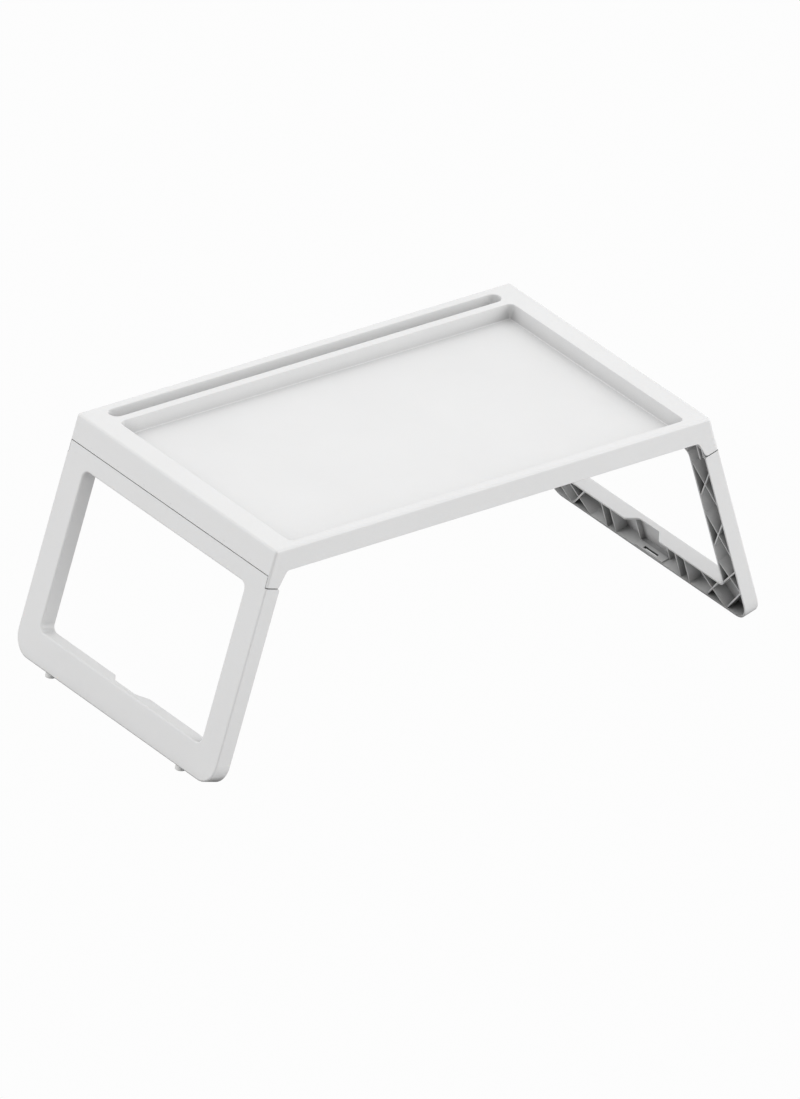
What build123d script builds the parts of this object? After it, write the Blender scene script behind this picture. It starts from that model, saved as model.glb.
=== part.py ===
"""A moulded folding tray table: one tray, two splayed leg frames that fold under it, hinge pins and rubber feet.

Millimetres, +Z up, +X along the tray's length. The origin is on the floor under the middle of the tray.
"""

from build123d import *
import math
import os

# ---- driving dimensions of the whole table -------------------------------------------------
HEIGHT = 260.0  # floor to the tray's rim
HALF_DEPTH = 180.0  # middle to the front and back faces
RIM_HALF_LENGTH = 272.5  # middle to the end faces, at the rim
SPLAY = 16.7  # lean of the end faces and the legs, in degrees from vertical
WALL = 2.4  # general wall thickness
RIB = 1.6  # stiffening rib thickness

# ---- tray ----------------------------------------------------------------------------------
APRON_DROP = 26.3  # rim to the lower edge of the front and back walls
SEAM_DROP = 26.8  # rim to the lower edge of the end walls, where a leg begins
WELL_HALF_LENGTH = 248.0
WELL_FRONT = -169.1
WELL_BACK = 140.9
WELL_DEPTH = 15.0
WELL_DRAFT = 20.0
WELL_CORNER = 7.0
WELL_FOOT_RADIUS = 1.5  # fillet between the well's floor and its walls
SLOT_HALF_LENGTH = 246.3
SLOT_FRONT = 150.7
SLOT_BACK = 168.9
SLOT_DEPTH = 18.0
SLOT_DRAFT = 3.0
RIM_RADIUS = 3.0  # outer edges of the rim and the corners
APRON_RADIUS = 0.8  # lower outer edges of the front and back walls and the ears
LIP_RADIUS = 1.2  # edges of the well and the slot
FLOOR_RIB_DEPTH = 6.0  # how far the lattice hangs under the well's floor
LATTICE_PITCH = 84.0  # spacing of the lattice, measured along X
RIM_WEB_PITCH = 48.0
RIM_WEB_BOTTOM = 236.0

# ---- ears, the tray's corner flaps that carry the legs ---------------------------------------
EAR_LENGTH = 13.2  # seam to the ear's lower edge, along the leg
EAR_INSET = 1.5  # the ear is this much narrower than the leg below it
EAR_TOE = 10.7  # how far the ear's inner edge leans in, from its foot to the apron
EAR_TOE_RADIUS = 4.0
EAR_ROOT_RADIUS = 5.0

# ---- leg frame, in its own frame: s runs down the leg from the seam, w inwards from its face --
LEG_LENGTH = 237.3
LEG_THICKNESS = 17.6
LEG_CORNER = 25.0
LEG_EDGE_RADIUS = 2.0
SEAM_GAP = 0.8
EAR_GAP = 0.5  # between an ear and the leg's end
WINDOW_HALF_WIDTH = 145.8
WINDOW_TOP = 21.5
WINDOW_BOTTOM = 201.6
WINDOW_CORNER = 8.0
RIB_RECESS = 0.4  # ribs stop this far inside the flanges' edges
SHOULDER_RADIUS = 2.0
GRIP_HALF_TOP = 31.0  # finger notch in the bottom bar, at the flange's edge
GRIP_HALF_BOTTOM = 18.0
GRIP_FLOOR = 7.5  # w of the notch's floor
GRIP_RADIUS = 4.0
GRIP_RIB = 26.0
CATCH_SLOT_HALF = 12.0
CATCH_SLOT_W = 13.4
CATCH_SLOT_WIDTH = 2.8
CATCH_PAD = 1.3  # extra thickness around the catch slot

# ---- hinge -----------------------------------------------------------------------------------
PIVOT_S = 4.0
PIVOT_W = 12.5
PIN_RADIUS = 2.0
PIN_CLEARANCE = 0.06
PIN_INNER = 160.5
PIN_OUTER = 177.9
BOSS_RADIUS = 4.5
BOSS_CLEARANCE = 0.5
EAR_BOSS_INNER = 170.0
BEARING_INNER = 161.5
BEARING_WEB = 3.0  # the leg's web that the pin is pressed into
BEARING_OUTER = 169.4

# ---- feet --------------------------------------------------------------------------------------
FOOT_Y = 118.0
FOOT_W = 8.2
FOOT_RADIUS = 6.5
FOOT_EDGE = 0.9
STEM_RADIUS = 3.0
STEM_CLEARANCE = 0.05
BARB_RADIUS = 4.0
BARB_TIP = 2.6
BARB_LENGTH = 4.0
BARB_GAP = 0.1

# ---- stops -------------------------------------------------------------------------------------
STOP_GAP = 0.05  # air left between a stop and the part that comes to rest on it
OPEN_STOP_INNER = 7.0  # w of the inner end of the teeth that stop a leg when it is open
FOLD_STOP_Y = 92.0
FOLD_STOP_THICKNESS = 2.4

# ---- values worked out from the ones above -------------------------------------------------------
SIN, COS = math.sin(math.radians(SPLAY)), math.cos(math.radians(SPLAY))
INNER_HALF_DEPTH = HALF_DEPTH - WALL
SEAM_Z = HEIGHT - SEAM_DROP
SEAM_X = RIM_HALF_LENGTH + SEAM_DROP * SIN / COS
APRON_Z = HEIGHT - APRON_DROP
WELL_FLOOR_Z = HEIGHT - WELL_DEPTH
WELL_UNDER_Z = WELL_FLOOR_Z - WALL
LEG_END_HALF = INNER_HALF_DEPTH - EAR_GAP  # the leg between the ears
SHOULDER_S = EAR_LENGTH + SEAM_GAP
HUGE = 1000.0


def in_leg(s, w):
    """The point (x, z) of the right-hand leg that lies s down the slope and w inside its outer face."""
    return SEAM_X + s * SIN - w * COS, SEAM_Z - s * COS - w * SIN


PIVOT_X, PIVOT_Z = in_leg(PIVOT_S, PIVOT_W)
LEG_END_FOLDED_X = PIVOT_X - (LEG_LENGTH - PIVOT_S)


def block(x0, x1, y0, y1, z0, z1):
    """A box between two corners."""
    size = (x1 - x0, y1 - y0, z1 - z0)
    return Pos((x0 + x1) / 2, (y0 + y1) / 2, (z0 + z1) / 2) * Box(*size)


def y_cylinder(radius, x, z, y0, y1):
    """A cylinder along Y."""
    low, high = min(y0, y1), max(y0, y1)
    return Pos(x, (low + high) / 2, z) * Rot(90, 0, 0) * Cylinder(radius, high - low)


def rounded(points, radii):
    """A face with these corners, where each corner with a radius is rounded."""
    face = make_face(Polyline(*points, close=True))
    for (x, y), radius in zip(points, radii):
        if radius:
            corner = face.vertices().sort_by_distance((x, y, 0))[0]
            face = fillet(corner, radius)
    return face


def profile_xz(face, half_depth):
    """The face, drawn in X and Z, extruded to half_depth both ways along Y."""
    return extrude(Plane.XZ * face, amount=half_depth, both=True)


# ---- tray ----------------------------------------------------------------------------------------
def tray_envelope():
    """The tray's outside with its ears, still solid across the whole depth."""
    toe = in_leg(EAR_LENGTH, LEG_THICKNESS - EAR_INSET)
    half = [
        (RIM_HALF_LENGTH, HEIGHT),
        in_leg(EAR_LENGTH, 0),
        toe,
        (toe[0] - EAR_TOE, APRON_Z),
    ]
    radii = [0, 0, EAR_TOE_RADIUS, EAR_ROOT_RADIUS]
    points = half + [(-x, z) for x, z in reversed(half)]
    solid = profile_xz(rounded(points, radii + radii[::-1]), HALF_DEPTH)
    top = solid.edges().group_by(Axis.Z)[-1]
    leaning = solid.edges().filter_by(
        lambda e: abs(abs(e.center().Y) - HALF_DEPTH) < 0.01
        and abs(e.center().X) > RIM_HALF_LENGTH + 1
        and e.length > EAR_LENGTH + SEAM_DROP
    )
    solid = fillet(top + leaning, RIM_RADIUS)
    lower = solid.edges().filter_by(
        lambda e: abs(abs(e.center().Y) - HALF_DEPTH) < 0.01 and e.center().Z < APRON_Z + 0.01
    )
    return fillet(lower, APRON_RADIUS)


def well_sketch(grow):
    middle = (WELL_FRONT + WELL_BACK) / 2
    width = WELL_BACK - WELL_FRONT
    return Pos(0, middle, HEIGHT) * RectangleRounded(
        2 * (WELL_HALF_LENGTH + grow), width + 2 * grow, WELL_CORNER + grow
    )


def slot_sketch(grow):
    middle = (SLOT_FRONT + SLOT_BACK) / 2
    width = SLOT_BACK - SLOT_FRONT
    return Pos(0, middle, HEIGHT) * SlotOverall(2 * (SLOT_HALF_LENGTH + grow), width + 2 * grow)


def well_pocket():
    """The well's open space, a little taller than the rim so that it cuts clean."""
    pocket = extrude(well_sketch(0), amount=-WELL_DEPTH, taper=WELL_DRAFT)
    pocket = fillet(pocket.edges().group_by(Axis.Z)[0], WELL_FOOT_RADIUS)
    return pocket


def slot_pocket():
    pocket = extrude(slot_sketch(0), amount=-SLOT_DEPTH, taper=SLOT_DRAFT)
    return fillet(pocket.edges().group_by(Axis.Z)[0], 2.0)


def floor_lattice():
    """Crossed diagonal ribs under the well's floor."""
    low = WELL_UNDER_Z - FLOOR_RIB_DEPTH
    count = math.ceil((SEAM_X + HALF_DEPTH) / LATTICE_PITCH)
    ribs = []
    for i in range(-count, count + 1):
        for lean in (45, -45):
            bar = Box(HUGE, RIB, WELL_FLOOR_Z - low)
            ribs.append(Pos(i * LATTICE_PITCH, 0, (low + WELL_FLOOR_Z) / 2) * Rot(0, 0, lean) * bar)
    return ribs


def rim_webs():
    """Webs across the hollow rim at both ends and along the front and back."""
    webs = []
    for i in range(-3, 4):
        y = i * RIM_WEB_PITCH
        webs.append(block(-SEAM_X, SEAM_X, y - RIB / 2, y + RIB / 2, RIM_WEB_BOTTOM, HEIGHT))
    for i in range(-5, 6):
        x = i * RIM_WEB_PITCH
        webs.append(block(x - RIB / 2, x + RIB / 2, -HALF_DEPTH, HALF_DEPTH, RIM_WEB_BOTTOM, HEIGHT))
    return webs


def tray_hollow():
    """The space inside the tray's shell, open below."""
    skin = WALL / COS
    lower = SEAM_Z - 2.0
    top = HEIGHT - WALL
    top_x = RIM_HALF_LENGTH + WALL * SIN / COS - skin
    low_x = RIM_HALF_LENGTH + (HEIGHT - lower) * SIN / COS - skin
    points = [(-top_x, top), (top_x, top), (low_x, lower), (-low_x, lower)]
    hollow = profile_xz(rounded(points, [0] * 4), INNER_HALF_DEPTH)
    hollow -= extrude(well_sketch(WALL), amount=-WELL_DEPTH - WALL, taper=WELL_DRAFT)
    hollow -= extrude(slot_sketch(WALL), amount=-SLOT_DEPTH - WALL, taper=SLOT_DRAFT)
    hollow -= floor_lattice()
    # The webs stiffen the rim only; below the well's underside they would cross the lattice.
    clear_floor = block(
        -WELL_HALF_LENGTH, WELL_HALF_LENGTH, WELL_FRONT, WELL_BACK, 0, WELL_UNDER_Z
    )
    hollow -= [web - clear_floor for web in rim_webs()]
    return hollow


def open_stops():
    """Teeth at the right-hand end that the leg's upper edge rests on when it is open."""
    s = SEAM_GAP - STOP_GAP
    outer, inner = in_leg(s, WALL / 2), in_leg(s, OPEN_STOP_INNER)
    points = [outer, inner, (inner[0], RIM_WEB_BOTTOM + 1), (outer[0], RIM_WEB_BOTTOM + 1)]
    tooth = profile_xz(rounded(points, [0] * 4), RIB / 2)
    return [Pos(0, i * RIM_WEB_PITCH, 0) * tooth for i in range(-3, 4)]


def fold_stops():
    """Two fins under the well that the right-hand leg's bottom bar rests on when it is folded."""
    low = PIVOT_Z + (LEG_THICKNESS - PIVOT_W) + STOP_GAP
    near, far = LEG_END_FOLDED_X - 6, LEG_END_FOLDED_X + (LEG_LENGTH - WINDOW_BOTTOM) + 4
    points = [
        (near, low),
        (far, low),
        (far + 10, WELL_UNDER_Z + WALL / 2),
        (near - 10, WELL_UNDER_Z + WALL / 2),
    ]
    fin = profile_xz(rounded(points, [2, 2, 0, 0]), FOLD_STOP_THICKNESS / 2)
    return [Pos(0, side * FOLD_STOP_Y, 0) * fin for side in (-1, 1)]


def ear_boss(side):
    """The blind bearing on the inside of the right-hand ear at the front (side -1) or back (side 1)."""
    return y_cylinder(BOSS_RADIUS, PIVOT_X, PIVOT_Z, side * EAR_BOSS_INNER, side * (INNER_HALF_DEPTH + 0.5))


def ear_bore(side):
    radius = PIN_RADIUS + PIN_CLEARANCE
    return y_cylinder(radius, PIVOT_X, PIVOT_Z, side * (EAR_BOSS_INNER - 1), side * (PIN_OUTER + 0.3))


def make_tray():
    tray = tray_envelope()
    # Between the ears nothing hangs below the seam.
    tray -= block(-HUGE, HUGE, -INNER_HALF_DEPTH, INNER_HALF_DEPTH, 0, SEAM_Z)
    tray -= well_pocket()
    tray -= slot_pocket()
    lips = tray.edges().filter_by(
        lambda e: abs(e.center().Z - HEIGHT) < 0.01
        and WELL_FRONT - 1 < e.center().Y < SLOT_BACK + 1
        and abs(e.center().X) < WELL_HALF_LENGTH + 1
    )
    tray = fillet(lips, LIP_RADIUS)
    tray -= tray_hollow()
    half_turn = Rot(0, 0, 180)
    details = open_stops() + fold_stops()
    tray += [turn * piece for piece in details for turn in (Rot(0, 0, 0), half_turn)]
    for side in (-1, 1):
        for turn in (Rot(0, 0, 0), half_turn):
            tray += turn * ear_boss(side)
            tray -= turn * ear_bore(side)
    return tray


# ---- leg frame, made upright with its outer face at x = 0 and z = -s, then leaned into place --------
def yz_face(half_width, s0, s1, corners=0.0):
    """A rectangle in Y and Z, optionally with all its corners rounded."""
    middle, height = -(s0 + s1) / 2, s1 - s0
    if corners:
        return Pos(0, middle) * RectangleRounded(2 * half_width, height, corners)
    return Pos(0, middle) * Rectangle(2 * half_width, height)


def leg_slab(face, w0, w1):
    """The face, drawn in Y and Z, between depths w0 and w1."""
    return Pos(-w0, 0, 0) * extrude(Plane.YZ * face, amount=-(w1 - w0))


def leg_outline(inset):
    """The leg's outline: narrow between the ears, then the full depth of the tray, rounded at the foot."""
    wide = HALF_DEPTH - inset
    narrow = LEG_END_HALF - inset
    top, shoulder = SEAM_GAP + inset, SHOULDER_S + inset
    foot = LEG_LENGTH - inset
    points = [
        (-narrow, -top),
        (narrow, -top),
        (narrow, -shoulder),
        (wide, -shoulder),
        (wide, -foot),
        (-wide, -foot),
        (-wide, -shoulder),
        (-narrow, -shoulder),
    ]
    corner = LEG_CORNER - inset
    return rounded(points, [0, 0, 0, 0, corner, corner, 0, 0])


def window(grow):
    return yz_face(
        WINDOW_HALF_WIDTH + grow, WINDOW_TOP - grow, WINDOW_BOTTOM + grow, WINDOW_CORNER + grow
    )


def rib_between(start, end):
    """A rib in Y and Z along the line from (y, s) to (y, s)."""
    (y0, s0), (y1, s1) = start, end
    length = math.hypot(y1 - y0, s1 - s0)
    lean = math.degrees(math.atan2(-(s1 - s0), y1 - y0))
    return Pos((y0 + y1) / 2, -(s0 + s1) / 2) * Rot(0, 0, lean) * Rectangle(length, RIB)


def leg_ribs():
    """Crosses down both stiles and in the bottom bar's ends, a brace in each corner and cross-walls between."""
    stile_in, stile_out = WINDOW_HALF_WIDTH, HALF_DEPTH
    bar_top, bar_bottom = WINDOW_BOTTOM, LEG_LENGTH
    ribs = []
    for side in (-1, 1):

        def cross(y0, y1, s0, s1):
            ribs.append(rib_between((side * y0, s0), (side * y1, s1)))
            ribs.append(rib_between((side * y0, s1), (side * y1, s0)))

        for top in (32.5, 100.0):
            cross(stile_in, stile_out, top, top + 51.0)
        cross(stile_in, stile_out, 166.0, 198.0)
        cross(102.0, 137.0, bar_top, bar_bottom)
        ribs.append(rib_between((side * 137.5, bar_bottom), (side * stile_out, 194.0)))
        for y in (58.0, 74.0):
            ribs.append(rib_between((side * y, bar_top), (side * y, bar_bottom)))
        ribs.append(rib_between((side * GRIP_RIB, bar_top), (side * GRIP_RIB, bar_bottom)))
    for i in range(-4, 5):
        y = 36.0 * i
        ribs.append(rib_between((y, 0), (y, WINDOW_TOP)))
    return ribs


def grip_notch():
    """Finger room cut into the bottom bar's upper flange, from its free edge."""
    edge = LEG_THICKNESS + 5
    run = (GRIP_HALF_TOP - GRIP_HALF_BOTTOM) / (LEG_THICKNESS - GRIP_FLOOR)
    wide = GRIP_HALF_TOP + run * (edge - LEG_THICKNESS)
    points = [
        (-edge, -wide),
        (-GRIP_FLOOR, -GRIP_HALF_BOTTOM),
        (-GRIP_FLOOR, GRIP_HALF_BOTTOM),
        (-edge, wide),
    ]
    face = rounded(points, [0, GRIP_RADIUS, GRIP_RADIUS, 0])
    low, high = -(WINDOW_BOTTOM + WALL + 0.5), -(WINDOW_BOTTOM - 1)
    return Pos(0, 0, low) * extrude(face, amount=high - low)


def bearing(side):
    """The web and boss in the leg's end that the hinge pin is pressed into."""
    web_inner = BEARING_OUTER - BEARING_WEB
    y0, y1 = sorted((side * web_inner, side * BEARING_OUTER))
    web = block(-LEG_THICKNESS, -WALL / 2, y0, y1, -WINDOW_TOP, -SEAM_GAP)
    boss = y_cylinder(BOSS_RADIUS, -PIVOT_W, -PIVOT_S, side * BEARING_INNER, side * BEARING_OUTER)
    return web + boss


def make_leg():
    """The leg frame in its own upright frame."""
    leg = leg_slab(leg_outline(0) - window(0), 0, LEG_THICKNESS)
    shoulders = leg.edges().filter_by(Axis.Y).filter_by(
        lambda e: abs(e.center().Z + SHOULDER_S) < 0.01 and e.center().X < -LEG_THICKNESS + 0.01
    )
    leg = fillet(shoulders, SHOULDER_RADIUS)
    face_edges = leg.faces().sort_by(Axis.X)[-1].edges()
    leg = fillet(face_edges.filter_by(lambda e: e.center().Z < -SHOULDER_S - 0.1), LEG_EDGE_RADIUS)
    hollow = leg_outline(WALL) - window(WALL)
    rib_top = LEG_THICKNESS - RIB_RECESS
    leg -= leg_slab(hollow - leg_ribs(), WALL, rib_top)
    leg -= leg_slab(hollow, rib_top, LEG_THICKNESS + 1)

    bar_top = WINDOW_BOTTOM + WALL
    bar_bottom = LEG_LENGTH - WALL
    grip_room = yz_face(GRIP_HALF_TOP, bar_top, bar_bottom)
    leg -= leg_slab(grip_room, GRIP_FLOOR + 0.5, LEG_THICKNESS + 1)
    leg -= grip_notch()
    leg += leg_slab(
        yz_face(GRIP_RIB - RIB, bar_bottom - CATCH_PAD, LEG_LENGTH - WALL / 2), GRIP_FLOOR + 0.5, LEG_THICKNESS - 0.6
    )
    leg -= leg_slab(
        yz_face(CATCH_SLOT_HALF, bar_bottom - 4, LEG_LENGTH + 1),
        CATCH_SLOT_W - CATCH_SLOT_WIDTH / 2,
        CATCH_SLOT_W + CATCH_SLOT_WIDTH / 2,
    )
    for side in (-1, 1):
        foot_hole = Cylinder(STEM_RADIUS + STEM_CLEARANCE, 4 * WALL)
        leg -= Pos(-FOOT_W, side * FOOT_Y, -LEG_LENGTH) * foot_hole
        leg += bearing(side)
        room = BOSS_RADIUS + BOSS_CLEARANCE
        leg -= y_cylinder(room, -PIVOT_W, -PIVOT_S, side * BEARING_OUTER, side * (LEG_END_HALF + 1))
        leg -= y_cylinder(PIN_RADIUS, -PIVOT_W, -PIVOT_S, side * (PIN_INNER - 1), side * LEG_END_HALF)
    return leg


def lean(part):
    """From the leg's upright frame to its place as the right-hand leg."""
    return Pos(SEAM_X, 0, SEAM_Z) * Rot(0, -SPLAY, 0) * part


def make_pin(side):
    """One hinge pin of the right-hand leg, at the front (side -1) or back (side 1)."""
    pin = y_cylinder(PIN_RADIUS, PIVOT_X, PIVOT_Z, side * PIN_INNER, side * PIN_OUTER)
    return chamfer(pin.edges().filter_by(GeomType.CIRCLE), 0.4)


def make_foot(side):
    """One push-in rubber foot of the right-hand leg: a sole cut level with the floor, a stem and a barb."""
    pad_depth = 12.0
    pad = Pos(-FOOT_W, side * FOOT_Y, -LEG_LENGTH - pad_depth / 2) * Cylinder(FOOT_RADIUS, pad_depth)
    pad = lean(pad) - block(-HUGE, HUGE, -HUGE, HUGE, -HUGE, 0)
    pad = fillet(pad.edges().group_by(Axis.Z)[0], FOOT_EDGE)
    stem_top = -LEG_LENGTH + WALL + BARB_GAP
    stem_length = WALL + BARB_GAP + 0.5
    stem = Pos(-FOOT_W, side * FOOT_Y, -LEG_LENGTH + stem_length / 2) * Cylinder(STEM_RADIUS, stem_length)
    barb = Pos(-FOOT_W, side * FOOT_Y, stem_top + BARB_LENGTH / 2) * Cone(BARB_RADIUS, BARB_TIP, BARB_LENGTH)
    return pad + lean(stem + barb)


# ---- every sub-part in its place ---------------------------------------------------------------------
def all_parts():
    """Each node's name and solid. The left-hand leg is the right-hand one turned half round."""
    parts = {"tray_top": make_tray()}
    half_turn = Rot(0, 0, 180)
    leg = lean(make_leg())
    parts["leg_frame_right"] = leg
    parts["leg_frame_left"] = half_turn * leg
    for side, here, across in ((-1, "front", "back"), (1, "back", "front")):
        for kind, piece in (("hinge_pin", make_pin(side)), ("foot", make_foot(side))):
            parts[f"{kind}_{here}_right"] = piece
            parts[f"{kind}_{across}_left"] = half_turn * piece
    return parts


os.makedirs("parts", exist_ok=True)
for name, shape in all_parts().items():
    export_step(shape, f"parts/{name}.step")
    print(name, round(shape.volume), "mm3", len(shape.solids()), "solid")
print("pivot", round(PIVOT_X, 3), round(PIVOT_Z, 3), "folded leg end", round(LEG_END_FOLDED_X, 2))
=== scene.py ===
"""Looks for the folding tray table: moulded white plastic, soft studio light and the camera.

Lengths are metres, in the frame that the CAD shares: x along the tray, y to the back and z up.
"""

import math

import bpy
from mathutils import Matrix, Vector


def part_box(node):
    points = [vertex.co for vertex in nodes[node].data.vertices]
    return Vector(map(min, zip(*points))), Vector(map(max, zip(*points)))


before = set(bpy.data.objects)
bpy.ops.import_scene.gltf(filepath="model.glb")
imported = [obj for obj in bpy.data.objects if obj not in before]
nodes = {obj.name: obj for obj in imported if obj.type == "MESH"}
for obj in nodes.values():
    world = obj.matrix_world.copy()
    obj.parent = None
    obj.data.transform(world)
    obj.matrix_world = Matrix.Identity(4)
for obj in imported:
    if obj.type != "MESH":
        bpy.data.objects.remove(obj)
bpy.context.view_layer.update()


class NodeTree:
    """Short ways to build the node tree of one material or world."""

    # Nearly all of a noise texture's values lie between these two.
    NOISE_RANGE = (0.3, 0.7)

    def __init__(self, owner):
        owner.use_nodes = True
        self.owner = owner
        self.tree = owner.node_tree

    def add(self, kind, **settings):
        node = self.tree.nodes.new(kind)
        for key, value in settings.items():
            setattr(node, key, value)
        return node

    def feed(self, target, value):
        """Link an output to an input, or set the input to a plain value."""
        if isinstance(value, bpy.types.NodeSocket):
            self.tree.links.new(value, target)
        else:
            target.default_value = value

    def place(self):
        """The point in the object's own frame, so that a pattern keeps one real size."""
        return self.add("ShaderNodeTexCoord").outputs["Object"]

    def axes(self, vector):
        """The three numbers of a vector."""
        node = self.add("ShaderNodeSeparateXYZ")
        self.feed(node.inputs["Vector"], vector)
        return node.outputs["X"], node.outputs["Y"], node.outputs["Z"]

    def scalar_math(self, operation, first, second):
        node = self.add("ShaderNodeMath", operation=operation)
        self.feed(node.inputs[0], first)
        self.feed(node.inputs[1], second)
        return node.outputs["Value"]

    def vector_math(self, operation, first, second=(0.0, 0.0, 0.0), result="Vector"):
        node = self.add("ShaderNodeVectorMath", operation=operation)
        self.feed(node.inputs[0], first)
        self.feed(node.inputs[1], second)
        return node.outputs[result]

    def stretch(self, value, source, target):
        """The value taken from the source range to the target range, and held inside it."""
        node = self.add("ShaderNodeMapRange")
        self.feed(node.inputs["Value"], value)
        for key, number in zip(("From Min", "From Max", "To Min", "To Max"), (*source, *target)):
            node.inputs[key].default_value = number
        return node.outputs["Result"]

    def mix(self, share, first, second, blend="MIX"):
        """Two colours mixed. The node has a set of sockets for each kind of data: 6 and 7 are colours."""
        node = self.add("ShaderNodeMix", data_type="RGBA", blend_type=blend)
        self.feed(node.inputs[0], share)
        self.feed(node.inputs[6], first)
        self.feed(node.inputs[7], second)
        return node.outputs[2]

    def noise(self, scale, detail=2.0, spread=None):
        """Noise with this many grains to the metre, spread over a range if one is given."""
        node = self.add("ShaderNodeTexNoise")
        node.inputs["Scale"].default_value = scale
        node.inputs["Detail"].default_value = detail
        self.feed(node.inputs["Vector"], self.place())
        if spread is None:
            return node.outputs["Fac"]
        return self.stretch(node.outputs["Fac"], self.NOISE_RANGE, spread)

    def bump(self, height, strength, depth, below=None):
        """Relief of this depth, on top of the relief below if there is one."""
        node = self.add("ShaderNodeBump")
        node.inputs["Strength"].default_value = strength
        node.inputs["Distance"].default_value = depth
        self.feed(node.inputs["Height"], height)
        if below is not None:
            self.feed(node.inputs["Normal"], below)
        return node.outputs["Normal"]

    def in_box(self, middle, half_size):
        """1 inside this box and 0 outside it."""
        offset = self.vector_math("SUBTRACT", self.place(), middle)
        ratio = self.vector_math("DIVIDE", offset, half_size)
        across, along, upward = self.axes(self.vector_math("ABSOLUTE", ratio))
        widest = self.scalar_math("MAXIMUM", across, along)
        widest = self.scalar_math("MAXIMUM", widest, upward)
        return self.scalar_math("LESS_THAN", widest, 1.0)


# ---- materials ---------------------------------------------------------------------------------
WHITE = (0.72, 0.72, 0.72)
WARM_WHITE = (0.74, 0.74, 0.73)

# In the tray, painted shade darkens corners and pockets as far back as the long slot, which hardly gets
# any.
SLOT_STRIP = 0.0345  # the depth of the tray's back strip, which holds the slot
SLOT_BLEND = 0.002  # the shading fades over this depth
SLOT_SHARE = 0.08  # how much of the shading is left in the slot
BEHIND_ALL = 1.0  # a place behind the whole table
CLEAR = 0.9  # a point that sees this much of its surroundings isn't shaded

# The well's sides are a touch darker with painted shade, and so are those of the slot for a catch in each
# foot bar.
# Both are found by a box that reaches a little past them.
END_RIM, FRONT_RIM, BACK_RIM = 0.0326, 0.0085, 0.0365  # from the tray's faces to the well's box
WELL_UNDER, WELL_OVER = 0.016, 0.002  # from the tray's top to the box's floor and to its lid
WELL_KEEP = 0.88  # the share of light that the well's sides keep
CATCH_INSET, CATCH_RISE = 0.01284, 0.00355  # from the leg's outer and lower ends to the slot's middle
CATCH_HALF_SIZE = (0.0021, 0.0122, 0.0018)
# CATCH_KEEP: the share of light that the catch slots' sides keep under the painted shade.
CATCH_KEEP = 0.2

# A face is steep when its normal's upward part is under the first number, and flat over the second.
STEEP_TO_FLAT = (0.5, 0.9)


def tone(color, factor):
    """A paler or deeper tone of a colour, with its alpha."""
    return (*[min(1.0, channel * factor) for channel in color], 1.0)


def well_box():
    """The box round the tray's well, from the tray's own box."""
    low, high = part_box("tray_top")
    floor_corner = Vector((low.x + END_RIM, low.y + FRONT_RIM, high.z - WELL_UNDER))
    lid_corner = Vector((high.x - END_RIM, high.y - BACK_RIM, high.z + WELL_OVER))
    middle = (floor_corner + lid_corner) / 2
    return {"middle": middle, "half_size": lid_corner - middle, "keep": WELL_KEEP}


def catch_boxes():
    """The boxes round the catch slots in both foot bars, from the right leg's box."""
    low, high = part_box("leg_frame_right")
    across, height = high.x - CATCH_INSET, low.z + CATCH_RISE
    return [
        {"middle": (side * across, 0.0, height), "half_size": CATCH_HALF_SIZE, "keep": CATCH_KEEP}
        for side in (-1, 1)
    ]


def shade_cavities(shader, color, reach, dark, shaded_to):
    """The colour, darkened by painted shade inside corners and pockets in front of the plane y =
    shaded_to.
    """
    opening = shader.add("ShaderNodeAmbientOcclusion", samples=8)
    opening.inputs["Distance"].default_value = reach
    shade = shader.stretch(opening.outputs["AO"], (0.0, CLEAR), (dark, 1.0))
    back_edge = (shaded_to, shaded_to + SLOT_BLEND)
    share = shader.stretch(shader.axes(shader.place())[1], back_edge, (1.0, SLOT_SHARE))
    return shader.mix(share, color, shade, "MULTIPLY")


def shade_sides(shader, color, middle, half_size, keep):
    """The colour, darkened by painted shade on the steep faces inside one box."""
    normal = shader.add("ShaderNodeNewGeometry").outputs["Normal"]
    shade = shader.stretch(shader.axes(normal)[2], STEEP_TO_FLAT, (keep, 1.0))
    return shader.mix(shader.in_box(middle, half_size), color, shade, "MULTIPLY")


def moulded_plastic(
    name, color, roughness, reach=0.02, dark=0.12, shaded_to=BEHIND_ALL, painted_shade_boxes=()
):
    """Polypropylene: a satin skin with a fine moulded grain, faint flow clouds and a little depth, with
    painted shade in corners and pockets and on the steep sides in the given boxes.
    """
    shader = NodeTree(bpy.data.materials.new(name))
    surface = shader.tree.nodes["Principled BSDF"].inputs

    clouds = shader.noise(9.0, 3.0, spread=(0.0, 1.0))
    skin = shader.mix(clouds, tone(color, 0.985), tone(color, 1.01))
    # Painted shade in corners and pockets.
    skin = shade_cavities(shader, skin, reach, dark, shaded_to)
    # Painted shade on the steep sides inside each box.
    for box in painted_shade_boxes:
        skin = shade_sides(shader, skin, **box)
    shader.feed(surface["Base Color"], skin)

    patches = shader.noise(60.0, spread=(roughness - 0.04, roughness + 0.04))
    shader.feed(surface["Roughness"], patches)

    waves = shader.bump(shader.noise(45.0, 1.0), strength=0.5, depth=0.00008)
    grain = shader.bump(shader.noise(2600.0), strength=0.35, depth=0.00003, below=waves)
    shader.feed(surface["Normal"], grain)

    surface["Subsurface Weight"].default_value = 0.12
    surface["Subsurface Radius"].default_value = (1.0, 0.9, 0.8)
    surface["Subsurface Scale"].default_value = 0.0015
    surface["IOR"].default_value = 1.49
    surface["Specular IOR Level"].default_value = 0.4
    return shader.owner


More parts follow.
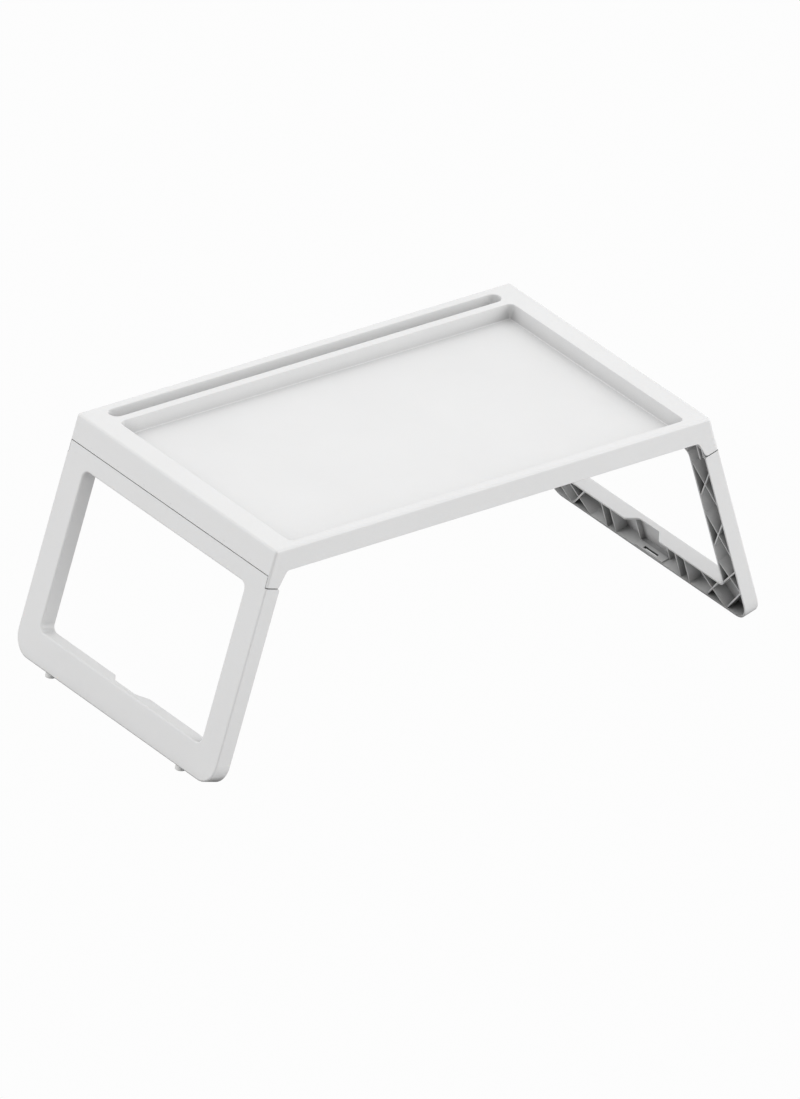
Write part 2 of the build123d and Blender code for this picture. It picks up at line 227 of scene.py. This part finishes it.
def rubber(name, color):
    """Pale soft rubber: matt, with a fine pebbled skin and dust-dulled patches."""
    shader = NodeTree(bpy.data.materials.new(name))
    surface = shader.tree.nodes["Principled BSDF"].inputs
    dust = shader.noise(220.0, 3.0)
    shader.feed(surface["Base Color"], shader.mix(dust, tone(color, 0.9), tone(color, 1.0)))
    shader.feed(surface["Roughness"], shader.noise(400.0, spread=(0.62, 0.8)))
    shader.feed(surface["Normal"], shader.bump(shader.noise(3200.0), strength=0.5, depth=0.00005))
    return shader.owner


tray_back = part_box("tray_top")[1].y
tray_plastic = moulded_plastic(
    "tray_plastic",
    WHITE,
    roughness=0.42,
    reach=0.022,
    dark=0.2,
    shaded_to=tray_back - SLOT_STRIP,
    painted_shade_boxes=[well_box()],
)
# The start of a node's name says which material it gets.
looks = {
    "tray": tray_plastic,
    "leg": moulded_plastic("leg_plastic", WHITE, roughness=0.45, painted_shade_boxes=catch_boxes()),
    "hinge_pin": moulded_plastic("pin_plastic", WARM_WHITE, roughness=0.35),
    "foot": rubber("foot_rubber", WARM_WHITE),
}

for name, node in nodes.items():
    look = next(material for start, material in looks.items() if name.startswith(start))
    node.data.materials.clear()
    node.data.materials.append(look)


# ---- floor and light ---------------------------------------------------------------------------
FLOOR_SIZE = 30
FLOOR_GREY = (0.5, 0.5, 0.5, 1.0)  # the light that the floor throws back on the table
FLOOR_GLOW = 0.98  # how pale the floor itself looks

SKY_BEHIND = 1.16  # the sky's brightness on the camera's far side and at its flanks
SKY_IN_FRONT = 0.68
LIGHT_AIM = (0, 0, 0.15)

# Where the camera stands: the turn from straight in front, the height angle and the tilt.
AZIMUTH, ELEVATION, ROLL = math.radians(-35.811), math.radians(28.07), math.radians(1.6)


def floor_paint():
    """Plain grey to the light, and an even pale tone to the camera."""
    paint = NodeTree(bpy.data.materials.new("floor_paint"))
    matt = paint.tree.nodes["Principled BSDF"]
    matt.inputs["Base Color"].default_value = FLOOR_GREY
    matt.inputs["Roughness"].default_value = 0.9
    matt.inputs["Specular IOR Level"].default_value = 0.0
    pale = paint.add("ShaderNodeEmission")
    pale.inputs["Color"].default_value = (1.0, 1.0, 1.0, 1.0)
    pale.inputs["Strength"].default_value = FLOOR_GLOW
    blend = paint.add("ShaderNodeMixShader")
    paint.feed(blend.inputs[0], paint.add("ShaderNodeLightPath").outputs["Is Camera Ray"])
    paint.feed(blend.inputs[1], matt.outputs["BSDF"])
    paint.feed(blend.inputs[2], pale.outputs["Emission"])
    paint.feed(paint.tree.nodes["Material Output"].inputs["Surface"], blend.outputs["Shader"])
    return paint.owner


def softbox(name, place, size, power):
    """A square area light of this many watts that shines on the table."""
    data = bpy.data.lights.new(name, "AREA")
    data.size = size
    data.energy = power
    lamp = bpy.data.objects.new(name, data)
    bpy.context.collection.objects.link(lamp)
    lamp.location = place
    direction = Vector(LIGHT_AIM) - Vector(place)
    lamp.rotation_euler = direction.to_track_quat("-Z", "Y").to_euler()


bpy.ops.mesh.primitive_plane_add(size=FLOOR_SIZE, location=(0, 0, 0))
floor = bpy.context.object
floor.name = "floor"
floor.data.materials.append(floor_paint())

# The studio's sky is fixed in the room, and darker on the side where the photograph was taken.
world = bpy.data.worlds.new("studio")
bpy.context.scene.world = world
sky = NodeTree(world)
front = (math.sin(AZIMUTH), -math.cos(AZIMUTH), 0.0)
direction = sky.add("ShaderNodeTexCoord").outputs["Generated"]
facing = sky.vector_math("DOT_PRODUCT", direction, front, result="Value")
brightness = sky.stretch(facing, (0.0, 1.0), (SKY_BEHIND, SKY_IN_FRONT))
sky.feed(sky.tree.nodes["Background"].inputs["Color"], brightness)

softbox("front_light", (3.8, -4.0, 1.5), size=3.0, power=114)
softbox("left_light", (-4.3, 3.3, 1.5), size=3.0, power=50)


# ---- camera ------------------------------------------------------------------------------------
DISTANCE = 25.1446
TARGET = Vector((0.012118, 0.0, 0.099956))
FOCAL = 796.5069  # millimetres: a long lens far away, as the photograph's near-parallel edges show
SENSOR = 36  # millimetres, along the picture's long side

back = Vector(
    (
        math.sin(AZIMUTH) * math.cos(ELEVATION),
        -math.cos(AZIMUTH) * math.cos(ELEVATION),
        math.sin(ELEVATION),
    )
)
level = Vector((math.cos(AZIMUTH), math.sin(AZIMUTH), 0.0))
upright = back.cross(level)
right = level * math.cos(ROLL) + upright * math.sin(ROLL)
up = upright * math.cos(ROLL) - level * math.sin(ROLL)
camera_data = bpy.data.cameras.new("camera")
camera_data.sensor_width = SENSOR
camera_data.lens = FOCAL
camera_data.clip_start = 1
camera_data.clip_end = 100
camera = bpy.data.objects.new("camera", camera_data)
bpy.context.collection.objects.link(camera)
place = TARGET + back * DISTANCE
camera.matrix_world = Matrix(
    (
        (right.x, up.x, back.x, place.x),
        (right.y, up.y, back.y, place.y),
        (right.z, up.z, back.z, place.z),
        (0, 0, 0, 1),
    )
)
bpy.context.scene.camera = camera
bpy.context.scene.view_settings.view_transform = "Standard"
